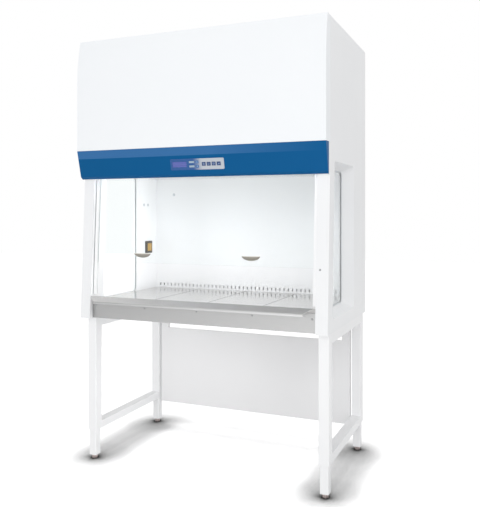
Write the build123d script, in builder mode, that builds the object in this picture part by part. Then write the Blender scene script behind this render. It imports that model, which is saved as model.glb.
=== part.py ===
from build123d import *
import os
from math import atan2, cos, radians, sin, tan

# A floor-standing biosafety cabinet on a telescoping stand.
# Millimetres. +X is the user's right, +Y the back, +Z up.
# The origin is on the floor, under the middle of the whole object.
# "Depth" is the distance in front of the cabinet's back face.
# "Level" is the height above the cabinet's underside.

os.makedirs("parts", exist_ok=True)

# ---- driving dimensions -------------------------------------------------
cabinet_width = 1340.0
cabinet_height = 1440.0
stand_height = 753.0
overall_depth = 790.0        # back face to the armrest's nose
skin = 1.5                   # painted and stainless sheet
cover_skin = 2.0             # front cover and fascia sheet
side_wall_depth = 60.0       # thickness of each double side wall
half_width = cabinet_width / 2
inner_x = half_width - side_wall_depth
lean = 3.0                   # degrees, sash and front posts lean back
fascia_top_depth = overall_depth - 12.0
post_foot_depth = fascia_top_depth - 26.0     # the posts' front face at level 0

fascia_bottom_level = 724.0
fascia_top_level = fascia_bottom_level + 144.0
fascia_chin_depth = fascia_top_depth - 31.0
fascia_chin_rise = 12.0
fascia_return = 45.0         # how far the fascia wraps round the sides
fascia_chin_radius = 8.0
cover_straight_level = cabinet_height - 232.0
cover_top_depth = fascia_top_depth - 26.0
cover_flange_depth = cover_top_depth - 45.0
seam = 0.6                   # gap between neighbouring covers

window_bottom_level = 62.0
window_top_level = fascia_bottom_level + 64.0
window_rear_depth = 268.0
window_front_depth = post_foot_depth - 74.0   # at level 0, it leans with the sash
window_taper = 30.0          # the recess narrows towards the glass by this
window_rear_taper = 48.0
window_radius = 24.0
window_recess = 50.0
pane_thickness = 5.5
gasket_thickness = 3.0
gasket_lip = 5.0
pane_margin = 15.0

rear_wall_depth = 100.0
slot_length = 22.0
slot_width = 4.5
slot_pitch = 15.0
slot_level = 114.0
rear_wall_bottom_level = 80.0
inner_wall_top_level = cabinet_height - 150.0

pan_bottom_level = 2.0
pan_front_depth = post_foot_depth - 25.0
pan_rim_level = 78.0
ledge_width = 15.0           # tray and apron ledges
pan_window_count = 8         # drain openings along the rear baffle
pan_window_pitch = (2 * inner_x - 20.0) / pan_window_count
pan_window = (130.0, 40.0, 8.0)
tray_count = 4
tray_thickness = 18.0
tray_gap = 1.6
tray_front_depth = pan_front_depth - 39.0
tray_rear_depth = rear_wall_depth + 3.0
tray_edge = 3.0
rest_gap = 0.3               # between a lift-out piece and its seat

apron_bottom_level = 5.0
apron_top_level = 95.0
armrest_top_level = 118.0
armrest_rear_depth = tray_front_depth + 2.5
armrest_step_depth = pan_front_depth + 1.0
armrest_lip_level = 84.0
armrest_sheet = 2.0
armrest_rise_run = 16.0      # the step up to the top face
armrest_flat = 8.0           # level strip before the sloping face
armrest_nose_level = 96.0
armrest_hem = 16.0
armrest_mitre = (48.0, 44.0) # cut off each front corner, across and back
armrest_bend = 7.0

sash_opening_level = 295.0   # bottom edge of the glass at rest
sash_length = 660.0
sash_glass = 6.0
sash_depth = post_foot_depth - 31.5           # mid-plane of the glass at level 0
sash_half_width = inner_x - 12.0
guide_width = 17.5
guide_depth = 24.0
guide_groove = 12.0
guide_play = 0.6
guide_bottom_level = 124.0
guide_top_gap = 6.0
handle_spacing = inner_x - 10.0
handle_width = 96.0
handle_height = 24.0
handle_rise = 26.0
handle_shift = -20.0          # both pulls sit left of the middle
handle_wall = 3.0
top_bar_height = 30.0
top_bar_cheek = 4.0
top_bar_cap = 6.0            # metal over the top edge of the glass
lug_reach = 26.0             # cable lug behind the glass mid-plane
lug_x = sash_half_width - 16.0

drum_radius = 18.0
drum_width = 16.0
drum_rim = 1.5               # groove depth and flange height about the pitch radius
drum_flange = 2.0
weight_drum_x = inner_x + 26.0
shaft_radius = 8.0
shaft_level = cabinet_height - 110.0
bearing_play = 0.05
hanger_x = inner_x - 70.0
hanger_sheet = 4.0
weight_size = (48.0, 38.0, 470.0)
weight_bottom_level = 400.0
weight_play = 0.5
weight_edge = 3.0

ceiling_level = fascia_bottom_level + 32.0
ceiling_rim = 19.0
supply_filter_height = 70.0
filter_rear_depth = rear_wall_depth + 10.0
filter_rail_foot = 16.0
plenum_front_depth = sash_depth - 115.5
plenum_foot = 20.0
exhaust_filter_size = (560.0, plenum_front_depth - filter_rear_depth - 45.0, 70.0)
filter_frame = 18.0
pleat_pitch = 40.0
pleat_width = 30.0
plenum_air_gap = 40.0        # open space in front of the plenum wall, over the ceiling
ceiling_slots = (72.0, 28.0, 15, 16)
ceiling_slot = (58.0, 10.0)

blower_level = cabinet_height - 330.0
scroll_start = 146.0
scroll_growth = 22.0
scroll_outlet_rise = 90.0
scroll_depth = 150.0
wheel_radius = 125.0
wheel_depth = 110.0
wheel_clearance = 14.0       # from the rear wall to the wheel
wheel_plate = 3.0
blade_count = 32
blade_chord = 24.0
blade_sheet = 1.6
wheel_inlet_radius = 92.0
blade_overlap = 0.5
blade_sweep = 0.35
motor_radius = 62.0
motor_length = 52.0
motor_bore_depth = 30.0
motor_seat = 8.0             # the motor laps the housing round its opening
motor_edge = 6.0

lamp_radius = 13.0
lamp_length = 2 * inner_x - 70.0
lamp_depth = fascia_top_depth - 36.0
lamp_levels = (fascia_top_level - 30.0, fascia_top_level - 64.0)
lamp_plate_depth = 34.0
socket_length = 14.0
lamp_plate_offset = 8.0
lamp_foot = 4.0

plate_left = -125.0
plate_right = 165.0
plate_height = 54.0
plate_level = fascia_bottom_level + 60.0
plate_thickness = 2.0
display_width = 78.0
display_height = 27.0
display_x = -75.0
key_height = 18.0
key_proud = 0.8
key_depth = 4.0
key_gap = 0.3
key_corner = 1.0
plate_corner = 6.0
display_corner = 1.5
display_step = 0.5           # the lens sits this far below the plate
cut_past = 1.0               # cutters start this far outside the metal
square_key_width = 20.0
square_key_x = (57.5, 84.0, 110.5, 137.0)
small_key_x = -7.5
small_key_size = (27.0, 9.0)
arrow_key_x = 22.5
arrow_key_size = (15.0, 14.0)
key_row_offset = 10.5

outlet_depth = rear_wall_depth + 96.5
outlet_level = 345.0
outlet_size = (62.0, 72.0)
outlet_reach = 12.0
outlet_bezel = 4.0
outlet_bezel_step = 2.0
outlet_well = 8.0
outlet_face = (34.0, 34.0, 8.0, 3.0)
outlet_pin_slot = (3.0, 9.0)
outlet_pin_pitch = 14.0
flap_size = (42.0, 44.0, 3.0)
flap_grip = (20.0, 4.0, 2.0)
flap_grip_rise = 6.0

plug_radius = 9.0
plug_height = 2.0
side_plug_depths = (rear_wall_depth + 140.0, rear_wall_depth + 97.0)
side_plug_level = 597.0
rear_plug_x = inner_x - 123.0
rear_plug_level = 660.0

guard_size = (520.0, exhaust_filter_size[1] - 30.0, 20.0)
guard_depth = filter_rear_depth + exhaust_filter_size[1] / 2
guard_corner = 6.0
guard_slots = (58.0, 15.0, 8, 25)
guard_slot = (48.0, 7.0)
inlet_size = (58.0, 48.0, 30.0)
inlet_x = inner_x - 160.0
inlet_level = cabinet_height - 70.0
inlet_floor = 8.0            # thickness behind the socket
inlet_pin = (2.0, 5.0, 12.0)
inlet_pin_pitch = 8.0

leg_size = 52.0
leg_wall = 3.0
leg_corner = 4.0
inner_leg_size = 42.0
inner_leg_wall = 2.5
inner_leg_length = 500.0
inner_leg_corner = 5.0
inner_leg_end = 8.5          # thickness of the threaded end block
leg_play = 0.3
collar_height = 30.0
leg_x = inner_x + leg_size / 2
front_leg_depth = post_foot_depth - 78.0
rear_leg_depth = 45.0
outer_leg_bottom = 153.0     # above the floor
top_rail_height = 50.0
lower_rail_height = 40.0
rail_wall = 3.0
panel_top = stand_height - 158.0              # above the floor
panel_bottom = outer_leg_bottom - 18.0
panel_half_width = inner_x - 58.0
panel_depth = 60.0
panel_hem = 12.0
stile_width = 46.0
stile_depth = 25.0
foot_height = 20.7
foot_across_flats = 27.0
foot_edge = 1.5
stem_radius = 6.0
stem_length = 75.0
lock_bolt_z = outer_leg_bottom + 79.0
lock_bolt_radius = 4.0
lock_bolt_clearance = 0.1
lock_bolt_head = (13.0, 5.3)
screw_radius = 5.0
screw_height = 2.5
screw_taper = 25.0           # degrees, the heads are domed
apron_screw_level = 66.0
apron_screw_pitch = (inner_x - 20.0) / 2
apron_screw_count = 5

# ---- places worked out from them ----------------------------------------
rear_y = overall_depth / 2
base_z = stand_height
slope = tan(radians(lean))
wall_clear_x = inner_x + skin


def at_depth(depth):
    """Y of a face that stands this far in front of the back face."""
    return rear_y - depth


def leaning(depth_at_base, level):
    """Y of a face that leans back with the sash, at a level."""
    return rear_y - depth_at_base + level * slope


def at_level(level):
    return base_z + level


def facing_front(depth):
    """Sketch plane facing the user: local x is X, local y is Z."""
    return Plane.XZ.offset(-at_depth(depth))


def leaning_plane(x, depth_at_base, level):
    """Plane across the sash's line of travel, at a level."""
    origin = (x, leaning(depth_at_base, level), at_level(level))
    return Plane(origin=origin, x_dir=(1, 0, 0), z_dir=(0, sin(radians(lean)), cos(radians(lean))))


def save(piece, label):
    piece.part.label = label
    export_step(piece.part, f"parts/{label}.step")


def save_mirrored(piece, label):
    """The same piece for the other side."""
    with BuildPart() as other:
        mirror(piece.part, about=Plane.YZ)
    save(other, label)


# ---- side walls: outer skin with a tapered window recess -----------------
side_outline = [
    (rear_y, at_level(0)),
    (leaning(post_foot_depth, 0), at_level(0)),
    (leaning(post_foot_depth, fascia_bottom_level), at_level(fascia_bottom_level)),
    (at_depth(fascia_top_depth - fascia_return) + seam, at_level(fascia_bottom_level)),
    (at_depth(fascia_top_depth - fascia_return) + seam, at_level(fascia_top_level)),
    (at_depth(cover_flange_depth) + seam, at_level(fascia_top_level)),
    (at_depth(cover_flange_depth) + seam, at_level(cabinet_height)),
    (rear_y, at_level(cabinet_height)),
]


def window_outline(grow, taper, rear_taper):
    """Corners of the side window, grown outwards or drawn in by the taper."""
    low = window_bottom_level + taper - grow
    high = window_top_level - taper + grow
    rear = at_depth(window_rear_depth + rear_taper) + grow
    front_depth = window_front_depth - taper + grow
    return [
        (rear, at_level(low)),
        (leaning(front_depth, low), at_level(low)),
        (leaning(front_depth, high), at_level(high)),
        (rear, at_level(high)),
    ]


def window_shape(x, grow, taper, rear_taper, radius):
    """Rounded window outline as a sketch on the plane at x."""
    with BuildSketch(Plane.YZ.offset(x)) as shape:
        Polygon(*window_outline(grow, taper, rear_taper), align=None)
        fillet(shape.vertices(), radius)
    return shape.sketch


with BuildPart() as side_panel:
    with BuildSketch(Plane.YZ.offset(wall_clear_x)):
        Polygon(*side_outline, align=None)
    extrude(amount=half_width - wall_clear_x)
    offset(amount=-skin, openings=side_panel.faces().sort_by(Axis.X)[0])
    recess_x = half_width - window_recess
    loft([
        window_shape(half_width, skin, 0, 0, window_radius + skin),
        window_shape(recess_x, skin, window_taper, window_rear_taper, window_radius + skin),
    ])
    loft([
        window_shape(half_width, 0, 0, 0, window_radius),
        window_shape(recess_x, 0, window_taper, window_rear_taper, window_radius),
    ], mode=Mode.SUBTRACT)
save(side_panel, "side_panel_right")
save_mirrored(side_panel, "side_panel_left")

# ---- inner walls of the work zone ----------------------------------------
inner_outline = [
    (at_depth(2 * skin), at_level(pan_bottom_level)),
    (leaning(post_foot_depth - skin, pan_bottom_level) + seam, at_level(pan_bottom_level)),
    (leaning(post_foot_depth - skin, inner_wall_top_level) + seam, at_level(inner_wall_top_level)),
    (at_depth(2 * skin), at_level(inner_wall_top_level)),
]
with BuildPart() as inner_wall:
    with BuildSketch(Plane.YZ.offset(inner_x)):
        Polygon(*inner_outline, align=None)
    extrude(amount=skin)
    extrude(window_shape(inner_x, -gasket_lip, window_taper, window_rear_taper, window_radius),
            amount=skin, mode=Mode.SUBTRACT)
save(inner_wall, "inner_wall_right")
save_mirrored(inner_wall, "inner_wall_left")

# ---- side window panes and their gaskets ---------------------------------
gasket_x = half_width - window_recess - gasket_thickness
with BuildPart() as window_panes:
    extrude(window_shape(gasket_x - pane_thickness, pane_margin, window_taper,
                         window_rear_taper, window_radius), amount=pane_thickness)
    mirror(about=Plane.YZ)
save(window_panes, "window_panes")

with BuildPart() as window_gaskets:
    extrude(window_shape(gasket_x, pane_margin, window_taper, window_rear_taper, window_radius),
            amount=gasket_thickness)
    extrude(window_shape(gasket_x, -gasket_lip, window_taper, window_rear_taper,
                         window_radius - gasket_lip), amount=gasket_thickness, mode=Mode.SUBTRACT)
    mirror(about=Plane.YZ)
save(window_gaskets, "window_gaskets")

# ---- front cover: bowed sheet over the upper front -----------------------
cover_bottom_level = fascia_top_level + seam
with BuildPart() as front_cover:
    with BuildSketch(Plane.YZ.offset(-half_width)):
        with BuildLine():
            knee = (at_depth(fascia_top_depth), at_level(cover_straight_level))
            crown = (at_depth(cover_top_depth), at_level(cabinet_height))
            heel = (at_depth(cover_flange_depth), at_level(cabinet_height))
            hem = (at_depth(cover_flange_depth), at_level(cover_bottom_level))
            toe = (at_depth(fascia_top_depth), at_level(cover_bottom_level))
            Polyline(crown, heel, hem, toe, knee)
            TangentArc(knee, crown, tangent=(0, 1))
        make_face()
    extrude(amount=cabinet_width)
    offset(amount=-cover_skin, openings=front_cover.faces().sort_by(Axis.Y)[-1])
save(front_cover, "front_cover")

# ---- control fascia: raked band with the keypad --------------------------
rake = atan2(fascia_top_depth - fascia_chin_depth,
             fascia_top_level - fascia_bottom_level - fascia_chin_rise)
plate_rise = plate_level - fascia_bottom_level - fascia_chin_rise
plate_depth_at_level = fascia_chin_depth + plate_rise * tan(rake)
face_normal = (0, -cos(rake), -sin(rake))


def fascia_plane(lift):
    """Plane on the fascia's raked face, this far in front of it, centred on the keypad's level."""
    surface = Vector(0, at_depth(plate_depth_at_level), at_level(plate_level))
    return Plane(origin=surface + Vector(*face_normal) * lift, x_dir=(1, 0, 0), z_dir=face_normal)


square_keys = [(x, 0, square_key_width, key_height) for x in square_key_x]
small_keys = [(small_key_x, side * key_row_offset, *small_key_size) for side in (1, -1)]
arrow_keys = [(arrow_key_x, side * key_row_offset, *arrow_key_size) for side in (1, -1)]
all_keys = square_keys + small_keys + arrow_keys


def key_windows(lift):
    """Clearance windows for every key, on a plane in front of the fascia."""
    with BuildSketch(fascia_plane(lift)) as windows:
        for x, up, wide, tall in all_keys:
            with Locations((x, up)):
                RectangleRounded(wide + 2 * key_gap, tall + 2 * key_gap, key_corner + key_gap)
    return windows.sketch


fascia_outline = [
    (at_depth(fascia_top_depth - fascia_return), at_level(fascia_top_level)),
    (at_depth(fascia_top_depth), at_level(fascia_top_level)),
    (at_depth(fascia_chin_depth), at_level(fascia_bottom_level + fascia_chin_rise)),
    (at_depth(fascia_top_depth - fascia_return), at_level(fascia_bottom_level)),
]
with BuildPart() as control_fascia:
    with BuildSketch(Plane.YZ.offset(-half_width)) as fascia_profile:
        Polygon(*fascia_outline, align=None)
        fillet(fascia_profile.vertices().sort_by(Axis.X)[1], fascia_chin_radius)
    extrude(amount=cabinet_width)
    offset(amount=-cover_skin, openings=control_fascia.faces().sort_by(Axis.Y)[-1])
    extrude(key_windows(cut_past), amount=-(cut_past + 2 * cover_skin), mode=Mode.SUBTRACT)
save(control_fascia, "control_fascia")

# ---- control plate with its display lens ---------------------------------
plate_width = plate_right - plate_left
plate_x = (plate_left + plate_right) / 2
with BuildPart() as control_plate:
    with BuildSketch(fascia_plane(0)):
        with Locations((plate_x, 0)):
            RectangleRounded(plate_width, plate_height, plate_corner)
        with Locations((display_x, 0)):
            RectangleRounded(display_width, display_height, display_corner, mode=Mode.SUBTRACT)
    extrude(amount=plate_thickness)
    extrude(key_windows(plate_thickness + cut_past), amount=-(plate_thickness + 2 * cut_past),
            mode=Mode.SUBTRACT)
    with BuildSketch(fascia_plane(0)):
        with Locations((display_x, 0)):
            RectangleRounded(display_width - 2 * seam, display_height - 2 * seam, display_corner)
    extrude(amount=plate_thickness - display_step)
save(control_plate, "control_plate")


def make_key(label, x, up, wide, tall):
    """Key that stands through its window in the control plate."""
    with BuildPart() as key:
        with BuildSketch(fascia_plane(plate_thickness + key_proud)):
            with Locations((x, up)):
                RectangleRounded(wide, tall, key_corner)
        extrude(amount=-(key_depth + key_proud))
    save(key, label)


for number, place in enumerate(square_keys, start=1):
    make_key(f"square_key_{number}", *place)
for label, place in zip(("menu_key_upper", "menu_key_lower"), small_keys):
    make_key(label, *place)
for label, place in zip(("arrow_key_up", "arrow_key_down"), arrow_keys):
    make_key(label, *place)

# ---- back panel with the mains inlet --------------------------------------
back_half_width = wall_clear_x - seam
with BuildPart() as back_panel:
    with BuildSketch(facing_front(skin)):
        with Locations((0, at_level(cabinet_height / 2))):
            Rectangle(2 * back_half_width, cabinet_height - 2 * skin - 2 * seam)
        with Locations((inlet_x, at_level(inlet_level))):
            Rectangle(inlet_size[0], inlet_size[1], mode=Mode.SUBTRACT)
    extrude(amount=-skin)
save(back_panel, "back_panel")

with BuildPart() as mains_inlet:
    with BuildSketch(facing_front(inlet_size[2])):
        with Locations((inlet_x, at_level(inlet_level))):
            RectangleRounded(inlet_size[0] - seam, inlet_size[1] - seam, 3.0)
    extrude(amount=-inlet_size[2])
    with BuildSketch(facing_front(0)):
        with Locations((inlet_x, at_level(inlet_level))):
            RectangleRounded(inlet_size[0] / 2, inlet_size[1] / 2, 4.0)
    extrude(amount=inlet_size[2] - inlet_floor, mode=Mode.SUBTRACT)
    with BuildSketch(facing_front(inlet_size[2] - inlet_floor)):
        with Locations((inlet_x, at_level(inlet_level))):
            with GridLocations(inlet_pin_pitch, 1, 3, 1):
                Rectangle(inlet_pin[0], inlet_pin[1])
    extrude(amount=-inlet_pin[2])
save(mains_inlet, "mains_inlet")

# ---- rear wall of the work zone: return slots and blower inlet ------------
with BuildPart() as rear_wall:
    wall_bottom = at_level(rear_wall_bottom_level)
    wall_top = at_level(inner_wall_top_level)
    with BuildSketch(facing_front(rear_wall_depth)):
        with Locations((0, (wall_bottom + wall_top) / 2)):
            Rectangle(2 * inner_x, wall_top - wall_bottom)
        slot_count = int((2 * inner_x - 40) // slot_pitch)
        with Locations((0, at_level(slot_level))):
            with GridLocations(slot_pitch, 1, slot_count, 1):
                SlotOverall(slot_length, slot_width, rotation=90, mode=Mode.SUBTRACT)
        with Locations((0, at_level(blower_level))):
            Circle(wheel_inlet_radius, mode=Mode.SUBTRACT)
    extrude(amount=-skin)
save(rear_wall, "rear_wall")

# ---- top panel with shaft hangers, and the exhaust guard ------------------
hanger_y = leaning(sash_depth - lug_reach + drum_radius, shaft_level)
shaft_z = at_level(shaft_level)
top_front = at_depth(cover_flange_depth) + 2 * seam
top_under = at_level(cabinet_height) - skin
with BuildPart() as top_panel:
    with BuildSketch(Plane.XY.offset(top_under)):
        with Locations((0, (rear_y - 2 * skin + top_front) / 2)):
            Rectangle(2 * back_half_width, rear_y - 2 * skin - top_front)
        with Locations((0, at_depth(guard_depth))):
            Rectangle(guard_size[0] - 2 * filter_frame, guard_size[1] - 2 * filter_frame,
                      mode=Mode.SUBTRACT)
    extrude(amount=skin)
    with BuildSketch(Plane.YZ.offset(-hanger_sheet / 2)):
        with Locations((hanger_y, shaft_z)):
            Circle(drum_radius)
        with Locations((hanger_y, (shaft_z + top_under) / 2)):
            Rectangle(2 * drum_radius, top_under - shaft_z)
        with Locations((hanger_y, shaft_z)):
            Circle(shaft_radius + bearing_play, mode=Mode.SUBTRACT)
    hanger = extrude(amount=hanger_sheet, mode=Mode.PRIVATE)
    with Locations((hanger_x, 0, 0), (-hanger_x, 0, 0)):
        add(hanger)
    for side in (-1, 1):
        rail_x = side * (exhaust_filter_size[0] / 2 + skin)
        rail_foot_z = top_under - exhaust_filter_size[2] - skin
        with BuildSketch(Plane.XZ.offset(-at_depth(filter_rear_depth))):
            with Locations((rail_x, top_under - exhaust_filter_size[2] / 2 - skin / 2)):
                Rectangle(skin, exhaust_filter_size[2] + skin)
            with Locations((rail_x - side * filter_rail_foot / 2, rail_foot_z)):
                Rectangle(filter_rail_foot + skin, skin)
        extrude(amount=exhaust_filter_size[1])
save(top_panel, "top_panel")

with BuildPart() as exhaust_guard:
    with BuildSketch(Plane.XY.offset(at_level(cabinet_height))):
        with Locations((0, at_depth(guard_depth))):
            RectangleRounded(guard_size[0], guard_size[1], guard_corner)
    extrude(amount=guard_size[2])
    offset(amount=-skin, openings=exhaust_guard.faces().sort_by(Axis.Z)[0])
    with BuildSketch(Plane.XY.offset(at_level(cabinet_height) + guard_size[2])):
        with Locations((0, at_depth(guard_depth))):
            with GridLocations(*guard_slots):
                SlotOverall(*guard_slot)
    extrude(amount=-2 * skin, mode=Mode.SUBTRACT)
save(exhaust_guard, "exhaust_guard")

# ---- filters, ceiling pan and plenum wall ----------------------------------
def make_filter(label, size, top_level):
    """Framed filter with pleats across both open faces."""
    wide, deep, tall = size
    middle = at_depth(filter_rear_depth + deep / 2)
    with BuildPart() as filter_part:
        with BuildSketch(Plane.XY.offset(at_level(top_level - tall))):
            with Locations((0, middle)):
                Rectangle(wide, deep)
        extrude(amount=tall)
        pleats = int((wide - 2 * filter_frame) // pleat_pitch)
        for z, way in ((at_level(top_level), -1), (at_level(top_level - tall), 1)):
            with BuildSketch(Plane.XY.offset(z)):
                with Locations((0, middle)):
                    with GridLocations(pleat_pitch, 1, pleats, 1):
                        Rectangle(pleat_width, deep - 2 * filter_frame)
            extrude(amount=way * tall / 3, mode=Mode.SUBTRACT)
    save(filter_part, label)


supply_bottom_level = ceiling_level + ceiling_rim
supply_filter_size = (
    2 * inner_x - 2 * seam,
    plenum_front_depth - skin - seam - filter_rear_depth,
    supply_filter_height,
)
make_filter("supply_filter", supply_filter_size, supply_bottom_level + supply_filter_height)
make_filter("exhaust_filter", exhaust_filter_size, cabinet_height - skin)

ceiling_front = at_depth(plenum_front_depth + plenum_air_gap)
ceiling_rear = at_depth(rear_wall_depth + seam / 2)
with BuildPart() as ceiling_grille:
    with BuildSketch(Plane.XY.offset(at_level(ceiling_level))):
        with Locations((0, (ceiling_front + ceiling_rear) / 2)):
            Rectangle(2 * inner_x, ceiling_rear - ceiling_front)
    extrude(amount=ceiling_rim)
    offset(amount=-skin, openings=ceiling_grille.faces().sort_by(Axis.Z)[-1])
    with BuildSketch(Plane.XY.offset(at_level(ceiling_level))):
        with Locations((0, at_depth(filter_rear_depth + supply_filter_size[1] / 2))):
            with GridLocations(*ceiling_slots):
                SlotOverall(*ceiling_slot)
    extrude(amount=skin, mode=Mode.SUBTRACT)
save(ceiling_grille, "ceiling_grille")

plenum_bottom = at_level(supply_bottom_level)
with BuildPart() as plenum_wall:
    with BuildSketch(facing_front(plenum_front_depth)):
        with Locations((0, (plenum_bottom + top_under) / 2)):
            Rectangle(2 * inner_x - 2 * seam, top_under - plenum_bottom)
    extrude(amount=-skin)
    with BuildSketch(Plane.XY.offset(plenum_bottom)):
        with Locations((0, at_depth(plenum_front_depth) - plenum_foot / 2)):
            Rectangle(2 * inner_x - 2 * seam, plenum_foot)
    extrude(amount=skin)
save(plenum_wall, "plenum_wall")

# ---- blower: spiral scroll housing, bladed wheel and motor -----------------
spiral_centre = Vector(-scroll_growth / 2, at_level(blower_level))
outlet_top_level = blower_level + scroll_start + scroll_outlet_rise
outlet_left = spiral_centre.X + scroll_start
outlet_right = outlet_left + 4 * scroll_growth


def scroll_profile():
    """Spiral of four growing quarter arcs with a straight outlet on top."""
    with BuildSketch(facing_front(rear_wall_depth)) as profile:
        with BuildLine():
            centre = spiral_centre
            radius = scroll_start
            for quarter in range(4):
                CenterArc(centre, radius, 90 * quarter, 90)
                turn = radians(90 * (quarter + 1))
                centre = centre - Vector(cos(turn), sin(turn)) * scroll_growth
                radius = radius + scroll_growth
            Polyline((outlet_right, spiral_centre.Y - scroll_growth),
                     (outlet_right, at_level(outlet_top_level)),
                     (outlet_left, at_level(outlet_top_level)),
                     (outlet_left, spiral_centre.Y))
        make_face()
    return profile.sketch


with BuildPart() as blower_housing:
    casing = scroll_profile()
    extrude(casing, amount=scroll_depth)
    with BuildSketch(facing_front(rear_wall_depth + skin)):
        add(casing.moved(Location((0, -skin, 0))))
        offset(amount=-skin)
        with Locations(((outlet_left + outlet_right) / 2, at_level(outlet_top_level))):
            Rectangle(outlet_right - outlet_left - 2 * skin, 8 * skin)
    extrude(amount=scroll_depth - 2 * skin, mode=Mode.SUBTRACT)
    with BuildSketch(facing_front(rear_wall_depth)):
        with Locations((0, at_level(blower_level))):
            Circle(wheel_inlet_radius)
    extrude(amount=2 * skin, mode=Mode.SUBTRACT)
    with BuildSketch(facing_front(rear_wall_depth + scroll_depth)):
        with Locations((0, at_level(blower_level))):
            Circle(motor_radius - motor_seat)
    extrude(amount=-2 * skin, mode=Mode.SUBTRACT)
save(blower_housing, "blower_housing")

wheel_rear_depth = rear_wall_depth + wheel_clearance
wheel_front_depth = wheel_rear_depth + wheel_depth
blade_tip = (wheel_radius - blade_overlap, 0)
blade_root = (wheel_radius - blade_chord + blade_overlap, -blade_chord * blade_sweep)
with BuildSketch() as blade:
    with BuildLine():
        RadiusArc(blade_root, blade_tip, blade_chord)
        Line(blade_tip, (blade_tip[0], blade_tip[1] + blade_sheet))
        RadiusArc((blade_tip[0], blade_tip[1] + blade_sheet),
                  (blade_root[0], blade_root[1] + blade_sheet), -blade_chord)
        Line((blade_root[0], blade_root[1] + blade_sheet), blade_root)
    make_face()
with BuildPart() as blower_wheel:
    with BuildSketch(facing_front(wheel_front_depth - wheel_plate)):
        with Locations((0, at_level(blower_level))):
            Circle(wheel_radius)
    extrude(amount=wheel_plate)
    with BuildSketch(facing_front(wheel_rear_depth)):
        with Locations((0, at_level(blower_level))):
            Circle(wheel_radius)
            Circle(wheel_radius - blade_chord, mode=Mode.SUBTRACT)
    extrude(amount=wheel_plate)
    with BuildSketch(facing_front(wheel_rear_depth)):
        with Locations((0, at_level(blower_level))):
            with PolarLocations(0, blade_count):
                add(blade.sketch)
    extrude(amount=wheel_depth)
    with BuildSketch(facing_front(wheel_front_depth)):
        with Locations((0, at_level(blower_level))):
            Circle(shaft_radius)
    extrude(amount=scroll_depth - wheel_clearance - wheel_depth + motor_bore_depth - 2.0)
save(blower_wheel, "blower_wheel")

with BuildPart() as blower_motor:
    with BuildSketch(facing_front(rear_wall_depth + scroll_depth)):
        with Locations((0, at_level(blower_level))):
            Circle(motor_radius)
    extrude(amount=motor_length)
    fillet(blower_motor.faces().sort_by(Axis.Y)[0].edges(), motor_edge)
    with BuildSketch(facing_front(rear_wall_depth + scroll_depth)):
        with Locations((0, at_level(blower_level))):
            Circle(shaft_radius + bearing_play)
    extrude(amount=motor_bore_depth, mode=Mode.SUBTRACT)
save(blower_motor, "blower_motor")

# ---- lamps behind the fascia ------------------------------------------------
lamp_plate_level = fascia_top_level - cover_skin
socket_centre_x = lamp_length / 2 + socket_length / 2
with BuildPart() as lamp_fitting:
    with BuildSketch(Plane.XY.offset(at_level(lamp_plate_level))):
        with Locations((0, at_depth(lamp_depth + lamp_plate_offset))):
            Rectangle(lamp_length + 2 * socket_length, lamp_plate_depth)
    extrude(amount=-skin)
    with BuildSketch(Plane.XY.offset(at_level(lamp_plate_level))):
        with Locations((-socket_centre_x, at_depth(lamp_depth)), (socket_centre_x, at_depth(lamp_depth))):
            Rectangle(socket_length, 2 * lamp_radius)
    extrude(amount=-(lamp_plate_level - lamp_levels[1] + lamp_radius + lamp_foot))
save(lamp_fitting, "lamp_fitting")

with BuildPart() as lamp_tubes:
    with BuildSketch(Plane.YZ.offset(-lamp_length / 2)):
        with Locations(*[(at_depth(lamp_depth), at_level(level)) for level in lamp_levels]):
            Circle(lamp_radius)
    extrude(amount=lamp_length)
save(lamp_tubes, "lamp_tubes")

# ---- drain pan under the work surface ---------------------------------------
pan_front = at_depth(pan_front_depth)
pan_rear = rear_y - 2 * skin
with BuildPart() as base_pan:
    with BuildSketch(Plane.XY.offset(at_level(pan_bottom_level))):
        with Locations((0, (pan_front + pan_rear) / 2)):
            Rectangle(2 * inner_x, pan_rear - pan_front)
    extrude(amount=pan_rim_level - pan_bottom_level)
    offset(amount=-skin, openings=base_pan.faces().sort_by(Axis.Z)[-1])
    ledge_z = at_level(pan_rim_level) - skin
    for y_low, y_high in (
        (pan_front, at_depth(tray_front_depth) + ledge_width),
        (at_depth(tray_rear_depth) - ledge_width, at_depth(rear_wall_depth) - seam),
    ):
        with BuildSketch(Plane.XY.offset(ledge_z)):
            with Locations((0, (y_low + y_high) / 2)):
                Rectangle(2 * inner_x, y_high - y_low)
        extrude(amount=skin)
    with BuildSketch(facing_front(tray_rear_depth + ledge_width)):
        with Locations((0, at_level((pan_bottom_level + pan_rim_level) / 2))):
            Rectangle(2 * inner_x, pan_rim_level - pan_bottom_level)
            with GridLocations(pan_window_pitch, 1, pan_window_count, 1):
                RectangleRounded(*pan_window, mode=Mode.SUBTRACT)
    extrude(amount=-skin)
save(base_pan, "base_pan")

# ---- lift-out work trays -----------------------------------------------------
tray_pitch = 2 * (inner_x - tray_gap) / tray_count
tray_middle = at_depth((tray_front_depth + tray_rear_depth) / 2)
for number in range(1, tray_count + 1):
    with BuildPart() as tray:
        with BuildSketch(Plane.XY.offset(at_level(pan_rim_level) + rest_gap)):
            with Locations(((number - (tray_count + 1) / 2) * tray_pitch, tray_middle)):
                Rectangle(tray_pitch - tray_gap, tray_front_depth - tray_rear_depth)
        extrude(amount=tray_thickness)
        fillet(tray.faces().sort_by(Axis.Z)[-1].edges(), tray_edge)
        offset(amount=-skin, openings=tray.faces().sort_by(Axis.Z)[0])
    save(tray, f"tray_{number}")

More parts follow.
